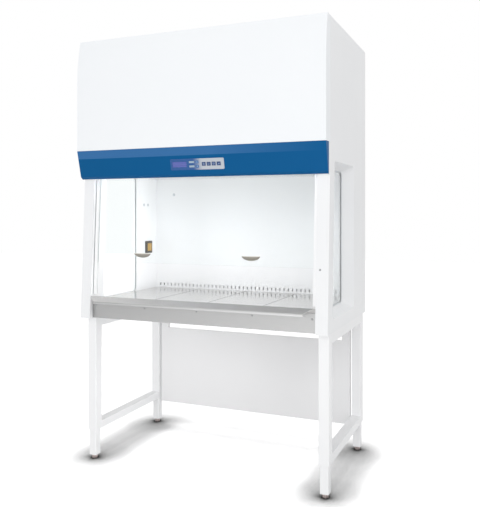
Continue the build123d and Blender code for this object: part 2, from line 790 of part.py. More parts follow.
# ---- apron and armrest across the front ---------------------------------------
with BuildPart() as front_apron:
    with BuildSketch(facing_front(pan_front_depth)):
        with Locations((0, at_level((apron_bottom_level + apron_top_level) / 2))):
            Rectangle(2 * inner_x - 2 * seam, apron_top_level - apron_bottom_level)
    extrude(amount=skin)
    with BuildSketch(Plane.XY.offset(at_level(apron_top_level) - skin)):
        with Locations((0, pan_front + ledge_width / 2 - skin)):
            Rectangle(2 * inner_x - 2 * seam, ledge_width)
    extrude(amount=skin)
save(front_apron, "front_apron")

rest_level = apron_top_level + rest_gap + armrest_sheet / 2
armrest_top = armrest_top_level - armrest_sheet / 2
nose_depth = overall_depth - armrest_sheet / 2
crest_depth = armrest_step_depth + armrest_rise_run
armrest_half_width = inner_x - 2 * seam
with BuildPart() as armrest:
    with BuildSketch(Plane.YZ.offset(-armrest_half_width)):
        with BuildLine():
            FilletPolyline(
                (at_depth(armrest_rear_depth), at_level(rest_level)),
                (at_depth(armrest_step_depth), at_level(rest_level)),
                (at_depth(crest_depth), at_level(armrest_top)),
                (at_depth(crest_depth + armrest_flat), at_level(armrest_top)),
                (at_depth(nose_depth), at_level(armrest_nose_level)),
                (at_depth(nose_depth), at_level(armrest_lip_level)),
                (at_depth(overall_depth - armrest_hem), at_level(armrest_lip_level)),
                radius=armrest_bend,
            )
        trace(line_width=armrest_sheet)
    extrude(amount=2 * armrest_half_width)
    for side in (-1, 1):
        corner = (side * armrest_half_width, at_depth(overall_depth))
        with BuildSketch(Plane.XY.offset(at_level(0))):
            Polygon(corner, (corner[0] - side * armrest_mitre[0], corner[1]),
                    (corner[0], corner[1] + armrest_mitre[1]), align=None)
        extrude(amount=2 * armrest_top_level, mode=Mode.SUBTRACT)
save(armrest, "armrest")

# ---- sash: glass, top bar, pulls and guides -----------------------------------
with BuildPart() as sash_glass_pane:
    with BuildSketch(leaning_plane(0, sash_depth, sash_opening_level)):
        Rectangle(2 * sash_half_width, sash_glass)
    extrude(amount=sash_length)
save(sash_glass_pane, "sash_glass")

bar_level = sash_opening_level + (sash_length - top_bar_height + top_bar_cap) * cos(radians(lean))
with BuildPart() as sash_top_bar:
    with BuildSketch(leaning_plane(0, sash_depth, bar_level)):
        Rectangle(2 * (sash_half_width - guide_groove), sash_glass + 2 * top_bar_cheek)
        with Locations((lug_x - drum_width / 2, lug_reach / 2), (drum_width / 2 - lug_x, lug_reach / 2)):
            Rectangle(drum_width, lug_reach + top_bar_cheek)
    extrude(amount=top_bar_height)
    with BuildSketch(leaning_plane(0, sash_depth, bar_level)):
        Rectangle(2 * sash_half_width, sash_glass)
    extrude(amount=top_bar_height - top_bar_cap, mode=Mode.SUBTRACT)
save(sash_top_bar, "sash_top_bar")

pull_level = sash_opening_level + handle_rise + handle_height
pull_y = leaning(sash_depth, pull_level) - sash_glass / 2 / cos(radians(lean))
glass_face = Plane(origin=(0, pull_y, at_level(pull_level)), x_dir=(1, 0, 0),
                   z_dir=(0, -cos(radians(lean)), sin(radians(lean))))


def pull_bowl(shrink):
    """An ellipsoid as wide as a pull and as tall as twice its height."""
    radius = handle_height - shrink
    with BuildPart() as bowl:
        Sphere(radius)
        scale(by=((handle_width / 2 - shrink) / radius, 1, 1))
    return bowl.part


with BuildPart() as sash_handles:
    with Locations(*[(handle_shift + side * handle_spacing / 2, pull_y, at_level(pull_level))
                     for side in (-1, 1)]):
        add(pull_bowl(0))
        add(pull_bowl(handle_wall), mode=Mode.SUBTRACT)
    split(bisect_by=glass_face, keep=Keep.TOP)
    split(bisect_by=Plane.XY.offset(at_level(pull_level)), keep=Keep.BOTTOM)
save(sash_handles, "sash_handles")

guide_x = inner_x - guide_width / 2
guide_run = (inner_wall_top_level - guide_top_gap - guide_bottom_level) / cos(radians(lean))
with BuildPart() as sash_guides:
    with BuildSketch(leaning_plane(0, sash_depth, guide_bottom_level)):
        for side in (-1, 1):
            with Locations((side * guide_x, 0)):
                Rectangle(guide_width, guide_depth)
            with Locations((side * (inner_x - guide_width + guide_groove / 2), 0)):
                Rectangle(guide_groove, sash_glass + 2 * guide_play, mode=Mode.SUBTRACT)
    extrude(amount=guide_run)
save(sash_guides, "sash_guides")

# ---- counterbalance: cross shaft with four drums, and two weights --------------
with BuildPart() as balance_shaft:
    with BuildSketch(Plane.YZ.offset(-weight_drum_x - drum_width)):
        with Locations((hanger_y, shaft_z)):
            Circle(shaft_radius)
    extrude(amount=2 * (weight_drum_x + drum_width))
    for side in (-1, 1):
        for drum_x in (lug_x - drum_width / 2, weight_drum_x):
            with BuildSketch(Plane.YZ.offset(side * drum_x - drum_width / 2)):
                with Locations((hanger_y, shaft_z)):
                    Circle(drum_radius - drum_rim)
            extrude(amount=drum_width)
            for rim in (0, drum_width - drum_flange):
                with BuildSketch(Plane.YZ.offset(side * drum_x - drum_width / 2 + rim)):
                    with Locations((hanger_y, shaft_z)):
                        Circle(drum_radius + drum_rim)
                extrude(amount=drum_flange)
save(balance_shaft, "balance_shaft")

weight_depth_at_base = sash_depth - lug_reach + 2 * drum_radius
weight_x = wall_clear_x + weight_play + weight_size[0] / 2
with BuildPart() as counterweight:
    with BuildSketch(leaning_plane(weight_x, weight_depth_at_base, weight_bottom_level)):
        Rectangle(weight_size[0], weight_size[1])
    extrude(amount=weight_size[2])
    chamfer(counterweight.faces().sort_by(Axis.Z)[-1].edges(), weight_edge)
save(counterweight, "counterweight_right")
save_mirrored(counterweight, "counterweight_left")

# ---- socket outlet on the left wall --------------------------------------------
outlet_y = at_depth(outlet_depth)
outlet_z = at_level(outlet_level)
with BuildPart() as outlet_box:
    with BuildSketch(Plane.YZ.offset(-inner_x)):
        with Locations((outlet_y, outlet_z)):
            RectangleRounded(*outlet_size, 4.0)
    extrude(amount=outlet_reach - outlet_bezel_step)
    with BuildSketch(Plane.YZ.offset(-inner_x + outlet_reach - outlet_bezel_step)):
        with Locations((outlet_y, outlet_z)):
            RectangleRounded(outlet_size[0] - 2 * outlet_bezel,
                             outlet_size[1] - 2 * outlet_bezel, 4.0)
    extrude(amount=outlet_bezel_step)
    with BuildSketch(Plane.YZ.offset(-inner_x + outlet_reach)):
        with Locations((outlet_y, outlet_z)):
            RectangleRounded(flap_size[0] + 2 * rest_gap, flap_size[1] + 2 * rest_gap, 1.0)
    extrude(amount=-outlet_well, mode=Mode.SUBTRACT)
    with BuildSketch(Plane.YZ.offset(-inner_x + outlet_reach - outlet_well)):
        with Locations((outlet_y, outlet_z)):
            RectangleRounded(*outlet_face[:3])
            with GridLocations(outlet_pin_pitch, 1, 2, 1):
                Rectangle(*outlet_pin_slot, mode=Mode.SUBTRACT)
    extrude(amount=outlet_face[3])
save(outlet_box, "outlet_box")

flap_back_x = -inner_x + outlet_reach - flap_size[2]
with BuildPart() as outlet_flap:
    with BuildSketch(Plane.YZ.offset(flap_back_x)):
        with Locations((outlet_y, outlet_z)):
            Rectangle(flap_size[0], flap_size[1])
    extrude(amount=flap_size[2])
    fillet(outlet_flap.edges().filter_by(Axis.Y).group_by(Axis.Z)[-1], flap_size[2] / 2 - 0.1)
    with BuildSketch(Plane.YZ.offset(flap_back_x + flap_size[2])):
        with Locations((outlet_y, outlet_z - flap_size[1] / 2 + flap_grip_rise)):
            SlotOverall(flap_grip[0], flap_grip[1])
    extrude(amount=flap_grip[2])
save(outlet_flap, "outlet_flap")

# ---- stand: two welded side frames --------------------------------------------
front_leg_y = at_depth(front_leg_depth)
rear_leg_y = at_depth(rear_leg_depth)
with BuildPart() as side_frame:
    with BuildSketch(Plane.XY.offset(outer_leg_bottom)):
        with Locations((leg_x, front_leg_y), (leg_x, rear_leg_y)):
            RectangleRounded(leg_size, leg_size, leg_corner)
    extrude(amount=stand_height - outer_leg_bottom)
    for rail_top, rail_height in (
        (stand_height, top_rail_height),
        (outer_leg_bottom + lower_rail_height, lower_rail_height),
    ):
        with BuildSketch(facing_front(front_leg_depth)):
            with Locations((leg_x, rail_top - rail_height / 2)):
                Rectangle(leg_size, rail_height)
        extrude(amount=-(front_leg_depth - rear_leg_depth))
    for rail_top, rail_height in (
        (stand_height, top_rail_height),
        (outer_leg_bottom + lower_rail_height, lower_rail_height),
    ):
        with BuildSketch(facing_front(front_leg_depth - leg_size / 2)):
            with Locations((leg_x, rail_top - rail_height / 2)):
                Rectangle(leg_size - 2 * rail_wall, rail_height - 2 * rail_wall)
        extrude(amount=-(front_leg_depth - rear_leg_depth - leg_size), mode=Mode.SUBTRACT)
    collar_side = inner_leg_size + 2 * leg_play
    with BuildSketch(Plane.XY.offset(outer_leg_bottom)):
        with Locations((leg_x, front_leg_y), (leg_x, rear_leg_y)):
            RectangleRounded(collar_side, collar_side, inner_leg_corner + leg_play)
    extrude(amount=collar_height, mode=Mode.SUBTRACT)
    with BuildSketch(Plane.XY.offset(outer_leg_bottom + collar_height)):
        with Locations((leg_x, front_leg_y), (leg_x, rear_leg_y)):
            RectangleRounded(leg_size - 2 * leg_wall, leg_size - 2 * leg_wall, leg_corner / 2)
    extrude(amount=stand_height - outer_leg_bottom - collar_height - leg_wall, mode=Mode.SUBTRACT)
    bolt_outer_y = (front_leg_y + leg_size / 2, rear_leg_y + leg_size / 2)
    for face_y in bolt_outer_y:
        with BuildSketch(Plane.XZ.offset(-face_y)):
            with Locations((leg_x, lock_bolt_z)):
                Circle(lock_bolt_radius + lock_bolt_clearance)
        extrude(amount=leg_wall + 1.0, mode=Mode.SUBTRACT)
save(side_frame, "side_frame_right")
save_mirrored(side_frame, "side_frame_left")

frame_inner_x = leg_x - leg_size / 2
with BuildPart() as rear_cross_rail:
    with BuildSketch(Plane.YZ.offset(-frame_inner_x)):
        with Locations((rear_leg_y, stand_height - top_rail_height / 2)):
            Rectangle(top_rail_height, top_rail_height)
            Rectangle(top_rail_height - 2 * rail_wall, top_rail_height - 2 * rail_wall, mode=Mode.SUBTRACT)
    extrude(amount=2 * frame_inner_x)
save(rear_cross_rail, "rear_cross_rail")

stile_top = stand_height - top_rail_height
with BuildPart() as rear_panel:
    with BuildSketch(facing_front(panel_depth)):
        with Locations((0, (panel_top + panel_bottom) / 2)):
            Rectangle(2 * panel_half_width, panel_top - panel_bottom)
    extrude(amount=-skin)
    with BuildSketch(facing_front(panel_depth)):
        with Locations((0, panel_top - skin / 2)):
            Rectangle(2 * panel_half_width, skin)
    extrude(amount=-panel_hem)
    for side in (-1, 1):
        stile_x = side * (panel_half_width + stile_width / 2)
        with BuildSketch(Plane.XY.offset(panel_bottom)):
            with Locations((stile_x, at_depth(panel_depth - stile_depth / 2))):
                Rectangle(stile_width, stile_depth)
                Rectangle(stile_width - 2 * skin, stile_depth - 2 * skin, mode=Mode.SUBTRACT)
        extrude(amount=stile_top - panel_bottom)
save(rear_panel, "rear_panel")

# ---- telescoping inner legs and levelling feet ------------------------------
leg_places = {
    "front_left": (-leg_x, front_leg_y),
    "front_right": (leg_x, front_leg_y),
    "rear_left": (-leg_x, rear_leg_y),
    "rear_right": (leg_x, rear_leg_y),
}
inner_leg_bottom = foot_height + rest_gap
for corner, place in leg_places.items():
    with BuildPart() as inner_leg:
        with BuildSketch(Plane.XY.offset(inner_leg_bottom)):
            with Locations(place):
                RectangleRounded(inner_leg_size, inner_leg_size, inner_leg_corner)
        extrude(amount=inner_leg_length)
        with BuildSketch(Plane.XY.offset(inner_leg_bottom + inner_leg_end)):
            with Locations(place):
                RectangleRounded(inner_leg_size - 2 * inner_leg_wall,
                                 inner_leg_size - 2 * inner_leg_wall,
                                 inner_leg_corner - inner_leg_wall)
        extrude(amount=inner_leg_length, mode=Mode.SUBTRACT)
        with BuildSketch(Plane.XY.offset(inner_leg_bottom)):
            with Locations(place):
                Circle(stem_radius + bearing_play)
        extrude(amount=inner_leg_end, mode=Mode.SUBTRACT)
    save(inner_leg, f"inner_leg_{corner}")

    with BuildPart() as foot:
        with BuildSketch(Plane.XY):
            with Locations(place):
                RegularPolygon(foot_across_flats / 2, 6, major_radius=False)
        extrude(amount=foot_height)
        chamfer(foot.faces().sort_by(Axis.Z)[0].edges(), foot_edge)
        chamfer(foot.faces().sort_by(Axis.Z)[-1].edges(), foot_edge)
        with BuildSketch(Plane.XY.offset(foot_height)):
            with Locations(place):
                Circle(stem_radius)
        extrude(amount=stem_length)
    save(foot, f"foot_{corner}")

# ---- screws, leg bolts and hole plugs -----------------------------------------
apron_face_depth = pan_front_depth + skin
with BuildPart() as fasteners:
    with BuildSketch(facing_front(apron_face_depth)):
        with Locations((0, at_level(apron_screw_level))):
            with GridLocations(apron_screw_pitch, 1, apron_screw_count, 1):
                Circle(screw_radius)
    extrude(amount=screw_height, taper=screw_taper)
    for face_y in bolt_outer_y:
        with BuildSketch(Plane.XZ.offset(-face_y)):
            with Locations((-leg_x, lock_bolt_z), (leg_x, lock_bolt_z)):
                RegularPolygon(lock_bolt_head[0] / 2, 6, major_radius=False)
        extrude(amount=-lock_bolt_head[1])
        with BuildSketch(Plane.XZ.offset(-face_y)):
            with Locations((-leg_x, lock_bolt_z), (leg_x, lock_bolt_z)):
                Circle(lock_bolt_radius)
        extrude(amount=(leg_size - inner_leg_size) / 2 - leg_play)
    for side in (-1, 1):
        with BuildSketch(Plane.YZ.offset(side * inner_x)):
            with Locations(*[(at_depth(depth), at_level(side_plug_level)) for depth in side_plug_depths]):
                Circle(plug_radius)
        extrude(amount=-side * plug_height)
    with BuildSketch(facing_front(rear_wall_depth)):
        with Locations((0, at_level(rear_plug_level))):
            with GridLocations(2 * rear_plug_x, 1, 2, 1):
                Circle(plug_radius)
    extrude(amount=plug_height)
save(fasteners, "fasteners")
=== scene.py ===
import bmesh
import bpy
from math import atan, cos, pi, radians, sin, tan
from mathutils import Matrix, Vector


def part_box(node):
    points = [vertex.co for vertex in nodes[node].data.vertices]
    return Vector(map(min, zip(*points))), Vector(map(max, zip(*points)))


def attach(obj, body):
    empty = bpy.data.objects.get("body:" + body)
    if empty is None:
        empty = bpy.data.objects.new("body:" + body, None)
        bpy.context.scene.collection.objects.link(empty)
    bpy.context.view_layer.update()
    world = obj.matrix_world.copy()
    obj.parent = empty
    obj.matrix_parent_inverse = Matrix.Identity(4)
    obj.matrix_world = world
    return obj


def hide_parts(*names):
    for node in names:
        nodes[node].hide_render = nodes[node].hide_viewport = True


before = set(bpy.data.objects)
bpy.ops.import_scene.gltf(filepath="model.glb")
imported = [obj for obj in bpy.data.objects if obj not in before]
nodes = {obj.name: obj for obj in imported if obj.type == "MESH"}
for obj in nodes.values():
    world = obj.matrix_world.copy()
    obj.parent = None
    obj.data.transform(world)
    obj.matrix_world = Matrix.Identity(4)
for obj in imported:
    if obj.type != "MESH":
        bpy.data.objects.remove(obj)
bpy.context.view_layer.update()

scene = bpy.context.scene
# The level that the cabinet stands on, and the depth of its rear face.
stand_top = 0.753
rear_face = 0.395

# ---- the viewpoint --------------------------------------------------------
# The cabinet is seen from the user's right, at chest height and level, with
# verticals kept upright by shifting the film instead of tilting the lens.
camera_data = bpy.data.cameras.new("viewpoint")
camera_data.lens = 44.35
camera_data.sensor_width = 36.0
camera_data.shift_x = -0.0497
camera_data.shift_y = -0.0786
camera_data.clip_end = 60.0
camera_data.dof.use_dof = False
turn_left = 0.379
camera = bpy.data.objects.new("viewpoint", camera_data)
camera.location = (1.438, -3.036, 1.298)
camera.rotation_euler = (pi / 2, 0, turn_left)
scene.collection.objects.link(camera)
scene.camera = camera
scene.view_settings.view_transform = "Standard"

# ---- the studio -----------------------------------------------------------
# A plain white sweep. The floor looks brighter to the eye than the light it
# gives back, so it stays white to the horizon and only contact shadows show.


def linear(code):
    """An sRGB hex colour as linear RGBA."""
    parts = [int(code[i:i + 2], 16) / 255 for i in (1, 3, 5)]
    return [c / 12.92 if c <= 0.04045 else ((c + 0.055) / 1.055) ** 2.4 for c in parts] + [1.0]


def add_node(tree, kind, sockets=None, **settings):
    """Adds a node: settings set its properties, sockets its inputs, by value or by output."""
    made = tree.nodes.new(kind)
    for name, value in settings.items():
        setattr(made, name, value)
    for key, value in (sockets or {}).items():
        if isinstance(value, bpy.types.NodeSocket):
            tree.links.new(value, made.inputs[key])
        else:
            made.inputs[key].default_value = value
    return made


def calc(tree, operation, *values):
    """A sum, product or test of numbers or outputs."""
    made = add_node(tree, "ShaderNodeMath", dict(enumerate(values)), operation=operation)
    return made.outputs[0]


def ramp(tree, value, start=0.0, end=1.0, low=0.0, high=1.0, curve="LINEAR"):
    """Takes a value from the range start to end over to the range low to high."""
    made = add_node(tree, "ShaderNodeMapRange", {0: value, 1: start, 2: end, 3: low, 4: high},
                    interpolation_type=curve)
    return made.outputs[0]


def seen_rays(tree):
    """1 for rays from the eye, off gloss or through glass, 0 for those that light matt surfaces."""
    path = add_node(tree, "ShaderNodeLightPath").outputs
    direct = calc(tree, "MAXIMUM", path["Is Camera Ray"], path["Is Glossy Ray"])
    return calc(tree, "MAXIMUM", direct, path["Is Transmission Ray"])


def new_finish(name):
    """A named material with an empty node tree."""
    material = bpy.data.materials.new(name)
    material.use_nodes = True
    material.node_tree.nodes.clear()
    return material, material.node_tree


def here(tree):
    """The point on the piece, in metres from the shared origin."""
    return add_node(tree, "ShaderNodeTexCoord").outputs["Object"]


world = bpy.data.worlds.new("studio")
scene.world = world
world.use_nodes = True
sky = world.node_tree
sky.nodes.clear()
room_light = 0.76
sky_strength = ramp(sky, seen_rays(sky), low=room_light, high=1.0)
backdrop = add_node(sky, "ShaderNodeBackground", {
    "Color": linear("#FFFFFF"), "Strength": sky_strength})
add_node(sky, "ShaderNodeOutputWorld", {"Surface": backdrop.outputs[0]})

floor_half = 14.0
near_gain, far_gain = 1.66, 1.48
gain_from, gain_to = 1.2, 4.5
floor_bounce = 0.68
contact_reach, contact_depth = 0.22, 5.0
floor_mesh = bpy.data.meshes.new("floor")
floor_mesh.from_pydata([(-floor_half, -floor_half, 0), (floor_half, -floor_half, 0),
                        (floor_half, floor_half, 0), (-floor_half, floor_half, 0)],
                       [], [(0, 1, 2, 3)])
floor = bpy.data.objects.new("floor", floor_mesh)
scene.collection.objects.link(floor)
sweep, tree = new_finish("studio_sweep")
away = add_node(tree, "ShaderNodeVectorMath", {0: here(tree)}, operation="LENGTH").outputs["Value"]
open_floor = ramp(tree, away, gain_from, gain_to, near_gain, far_gain, "SMOOTHSTEP")
close = add_node(tree, "ShaderNodeAmbientOcclusion", {"Distance": contact_reach}, samples=16)
contact = calc(tree, "POWER", close.outputs["AO"], contact_depth)
shown = calc(tree, "MULTIPLY", open_floor, contact)
gain = ramp(tree, seen_rays(tree), low=floor_bounce, high=shown)
tone = add_node(tree, "ShaderNodeCombineColor", {0: gain, 1: gain, 2: gain})
paper = add_node(tree, "ShaderNodeBsdfDiffuse", {"Color": tone.outputs[0]})
add_node(tree, "ShaderNodeOutputMaterial", {"Surface": paper.outputs[0]})
floor_mesh.materials.append(sweep)

# ---- the lamps --------------------------------------------------------------
# Soft boxes in front, low and at the right light the outside. Small ones fill
# the work zone, the left window's recess and the inside of the left frame.


def soft_box(name, place, aim, size, watts, spread=180):
    """A soft light of some size at a place, aimed at a point, that no eye or mirror sees."""
    data = bpy.data.lights.new(name, "AREA")
    data.shape = "RECTANGLE"
    data.size, data.size_y = size
    data.energy = watts
    data.spread = radians(spread)
    lamp = bpy.data.objects.new(name, data)
    lamp.location = place
    lamp.rotation_euler = (Vector(aim) - Vector(place)).to_track_quat("-Z", "Y").to_euler()
    lamp.visible_camera = lamp.visible_glossy = lamp.visible_transmission = False
    scene.collection.objects.link(lamp)


soft_box("front_soft_box", (0.2, -5.0, 1.9), (0, 0, 1.4), (3.4, 3.4), 56)
soft_box("low_soft_box", (1.6, -4.6, 0.7), (0, 0.2, 0.4), (3.0, 1.2), 22)
soft_box("right_soft_box", (3.4, -0.6, 3.6), (0.6, 0, 1.9), (2.2, 2.2), 13)
soft_box("work_zone_fill", (0.0, -0.24, 1.14), (0, 0.4, 1.14), (1.05, 0.60), 0.35)
soft_box("left_wall_fill", (0.600, -0.10, 1.18), (-0.61, -0.10, 1.18), (0.30, 0.60), 1.15, 64)
soft_box("left_recess_fill", (-1.50, -0.36, 1.18), (-0.64, 0.10, 1.18), (0.30, 0.70), 0.8, 60)
soft_box("left_frame_fill", (0.600, -0.16, 0.42), (-0.66, -0.10, 0.42), (0.36, 0.50), 0.9, 80)

# ---- welded side frames, cross rail and telescoping legs -------------------
# Square steel tube, cut and welded into two side frames, ground smooth and
# powder coated white. The inner legs slide in them and are coated the same.


def blend(tree, share, first, second):
    """Mixes two colours, each a hex code or an output."""
    ends = [linear(end) if isinstance(end, str) else end for end in (first, second)]
    made = add_node(tree, "ShaderNodeMix", {0: share, 6: ends[0], 7: ends[1]}, data_type="RGBA")
    return made.outputs[2]


def noise(tree, where, spacing_mm, detail, rough=0.5):
    """Noise whose marks lie some mm apart."""
    made = add_node(tree, "ShaderNodeTexNoise", {
        "Vector": where, "Scale": 1000 / spacing_mm, "Detail": detail, "Roughness": rough})
    return made.outputs[0]


def relief(tree, height, strength, depth):
    """Low relief in the skin, its depth in metres."""
    made = add_node(tree, "ShaderNodeBump", {
        "Height": height, "Strength": strength, "Distance": depth})
    return made.outputs[0]


def close_finish(tree, sockets):
    """Ends a finish in a principled skin."""
    skin = add_node(tree, "ShaderNodeBsdfPrincipled", sockets)
    add_node(tree, "ShaderNodeOutputMaterial", {"Surface": skin.outputs[0]})


def dress(material, *names):
    """Gives CAD nodes a finish."""
    for name in names:
        for place in nodes[name].material_slots:
            place.material = material


coat_ior = 1.5
peel_mm, peel_strength, peel_depth = 4.0, 0.06, 0.0004


def powder_coat(name, colour, shade, gloss):
    """Powder coat on sheet steel: an even satin skin with a faint orange peel.

    Cured powder flows out to shallow dimples about 2 mm apart; thickness, and so tone and
    gloss, drift slightly over half a metre. The peel is drawn coarser, so that it shows.
    """
    drift_mm = 520.0
    material, tree = new_finish(name)
    where = here(tree)
    drift = noise(tree, where, drift_mm, 2.0)
    peel = noise(tree, where, peel_mm, 1.0)
    close_finish(tree, {
        "Base Color": blend(tree, drift, colour, shade),
        "Roughness": ramp(tree, drift, low=gloss - 0.05, high=gloss + 0.07),
        "IOR": coat_ior, "Normal": relief(tree, peel, peel_strength, peel_depth)})
    return material


stand_coat = powder_coat("white_powder_coat_tube", "#F8F8F9", "#F3F4F5", 0.42)
dress(stand_coat, "side_frame_left", "side_frame_right", "rear_cross_rail",
      "inner_leg_front_left", "inner_leg_front_right", "inner_leg_rear_left",
      "inner_leg_rear_right")

# ---- levelling feet --------------------------------------------------------
# Turned bar screwed up into each leg, zinc plated, so it is a warm bright grey
# with fine turning marks round it.


def worked_grain(tree, where, spacing_mm, pull):
    """The marks of brushing or turning, stretched along the axes by pull."""
    laid = add_node(tree, "ShaderNodeMapping", {"Vector": where, "Scale": pull})
    return noise(tree, laid.outputs[0], spacing_mm, 3.0, 0.65)


def close_metal(tree, tone, marks, rough):
    """Ends a worked metal finish, whose marks vary its gloss and stand a hair proud."""
    close_finish(tree, {
        "Base Color": tone, "Metallic": 1.0,
        "Roughness": ramp(tree, marks, low=rough - 0.07, high=rough + 0.09),
        "Normal": relief(tree, marks, 0.12, 0.0003)})


def brushed_metal(name, colour, shade, grain_mm, rough, pull=(1.0, 1.0, 1.0), seams=None):
    """A worked metal skin.

    Seams gives the bends where sheets meet: their spacing across the width, half
    their breadth and their colour.
    """
    material, tree = new_finish(name)
    where = here(tree)
    marks = worked_grain(tree, where, grain_mm, pull)
    tone = blend(tree, marks, colour, shade)
    if seams:
        spacing, breadth, bend_colour = seams
        across = add_node(tree, "ShaderNodeSeparateXYZ", {0: where}).outputs[0]
        bend = calc(tree, "LESS_THAN", calc(tree, "PINGPONG", across, spacing / 2), breadth)
        tone = blend(tree, bend, tone, bend_colour)
    close_metal(tree, tone, marks, rough)
    return material


foot_zinc = brushed_metal("zinc_plated_turned_steel", "#EADFDC", "#C6B3B0", 1.2, 0.42,
                          (0.15, 0.15, 3.0))
dress(foot_zinc, "foot_front_left", "foot_front_right", "foot_rear_left", "foot_rear_right")

# ---- rear panel of the stand -----------------------------------------------
# One sheet folded along its top edge and spot welded between two stiles,
# powder coated with the frames. It hides the wall behind the user's knees.
panel_coat = powder_coat("white_powder_coat_sheet", "#F6F6F7", "#F0F0F1", 0.46)
dress(panel_coat, "rear_panel")

# ---- cabinet shell ---------------------------------------------------------
# Side panels, back, top and the bowed front cover: 1.5 to 2 mm electro zinc
# sheet, folded, with the side windows drawn in. Powder coated a clean white.
shell_coat = powder_coat("white_powder_coat_shell", "#F4F5F6", "#EEEFF1", 0.38)
dress(shell_coat, "side_panel_left", "side_panel_right", "back_panel", "top_panel",
      "exhaust_guard")
cover_coat = powder_coat("white_powder_coat_cover", "#F6F8FA", "#F1F4F7", 0.36)
dress(cover_coat, "front_cover")

# ---- work zone lining and perforated ceiling --------------------------------
# Folded sheet with a brighter, smoother white epoxy that is wiped down with
# disinfectant.
lining_coat = powder_coat("white_epoxy_lining", "#FAFAFB", "#F6F7F8", 0.32)
dress(lining_coat, "inner_wall_left", "inner_wall_right", "ceiling_grille", "lamp_fitting")

# ---- slotted rear wall ---------------------------------------------------------
# One sheet, punched with a row of upright return slots just above the trays and
# a round port for the blower. Coated white with the rest of the lining.


def new_tree(name, **inputs):
    """An empty Geometry Nodes tree with named inputs, and the outputs that carry them in."""
    tree = bpy.data.node_groups.new(name, "GeometryNodeTree")
    for label, kind in inputs.items():
        tree.interface.new_socket(label, in_out="INPUT", socket_type="NodeSocket" + kind)
    tree.interface.new_socket("Geometry", in_out="OUTPUT", socket_type="NodeSocketGeometry")
    return tree, add_node(tree, "NodeGroupInput").outputs


def close_tree(tree, shape, finish):
    """Ends a tree: its copies are made real and take the finish."""
    real = add_node(tree, "GeometryNodeRealizeInstances", {0: shape})
    coated = add_node(tree, "GeometryNodeSetMaterial", {
        "Geometry": real.outputs[0], "Material": finish})
    add_node(tree, "NodeGroupOutput", {0: coated.outputs[0]})


def grow(name, tree, sizes, body, slot, *replaced):
    """Runs a tree once and keeps its result as a plain mesh that rides on a body."""
    piece = bpy.data.objects.new(name, bpy.data.meshes.new(name + "_start"))
    scene.collection.objects.link(piece)
    maker = piece.modifiers.new("maker", "NODES")
    maker.node_group = tree
    for item in tree.interface.items_tree:
        if item.in_out == "INPUT":
            maker[item.identifier] = sizes[item.name]
    ready = piece.evaluated_get(bpy.context.evaluated_depsgraph_get())
    shape = bpy.data.meshes.new_from_object(ready)
    piece.modifiers.remove(maker)
    piece.data = shape
    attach(piece, body)
    if replaced:
        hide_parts(*replaced)
    return piece


def joined(tree, *parts):
    """Several geometries as one."""
    made = add_node(tree, "GeometryNodeJoinGeometry")
    for part in parts:
        tree.links.new(part.outputs[0], made.inputs[0])
    return made.outputs[0]


wall_low, wall_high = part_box("rear_wall")
wall_width, wall_height = wall_high.x - wall_low.x, wall_high.z - wall_low.z
wall_middle = (wall_low.z + wall_high.z) / 2
slot_pitch, slot_length, slot_width = 0.0252, 0.017, 0.0055
slot_margin = 0.015
slot_centre = stand_top + 0.114
port_centre, port_radius = stand_top + 1.110, 0.092
tree, given = new_tree(
    "punched_sheet", Width="Float", Height="Float", Pitch="Float", Slots="Int", Long="Float",
    Wide="Float", Rise="Float", Port="Float", Lift="Float", Sheet="Float", Place="Vector",
    Finish="Material")
blank = add_node(tree, "GeometryNodeCurvePrimitiveQuadrilateral", {
    "Width": given["Width"], "Height": given["Height"]})
punch = add_node(tree, "GeometryNodeCurvePrimitiveQuadrilateral", {
    "Width": given["Wide"], "Height": given["Long"]})
round_punch = add_node(tree, "GeometryNodeFilletCurve", {
    "Curve": punch.outputs[0], "Radius": calc(tree, "MULTIPLY", given["Wide"], 0.49), "Count": 3,
    "Limit Radius": True}, mode="POLY")
gaps = calc(tree, "ADD", given["Slots"], -1.0)
start_x = calc(tree, "MULTIPLY", calc(tree, "MULTIPLY", gaps, given["Pitch"]), -0.5)
start = add_node(tree, "ShaderNodeCombineXYZ", {0: start_x, 1: given["Rise"]})
step = add_node(tree, "ShaderNodeCombineXYZ", {0: given["Pitch"]})
run = add_node(tree, "GeometryNodeMeshLine", {
    "Count": given["Slots"], "Start Location": start.outputs[0], "Offset": step.outputs[0]})
slots = add_node(tree, "GeometryNodeInstanceOnPoints", {
    "Points": run.outputs[0], "Instance": round_punch.outputs[0]})
real_slots = add_node(tree, "GeometryNodeRealizeInstances", {0: slots.outputs[0]})
port = add_node(tree, "GeometryNodeCurvePrimitiveCircle", {
    "Resolution": 48, "Radius": given["Port"]})
lifted = add_node(tree, "ShaderNodeCombineXYZ", {1: given["Lift"]})
port_up = add_node(tree, "GeometryNodeTransform", {
    "Geometry": port.outputs[0], "Translation": lifted.outputs[0]})
flat = add_node(tree, "GeometryNodeFillCurve", {0: joined(tree, blank, real_slots, port_up)})
raised = add_node(tree, "GeometryNodeExtrudeMesh", {
    "Mesh": flat.outputs[0], "Offset Scale": given["Sheet"], "Individual": False})
back = add_node(tree, "GeometryNodeFlipFaces", {0: flat.outputs[0]})
welded = add_node(tree, "GeometryNodeMergeByDistance", {
    "Geometry": joined(tree, raised, back), "Distance": 0.00001})
stood = add_node(tree, "GeometryNodeTransform", {
    "Geometry": welded.outputs[0], "Translation": given["Place"], "Rotation": (pi / 2, 0, 0)})
close_tree(tree, stood.outputs[0], given["Finish"])
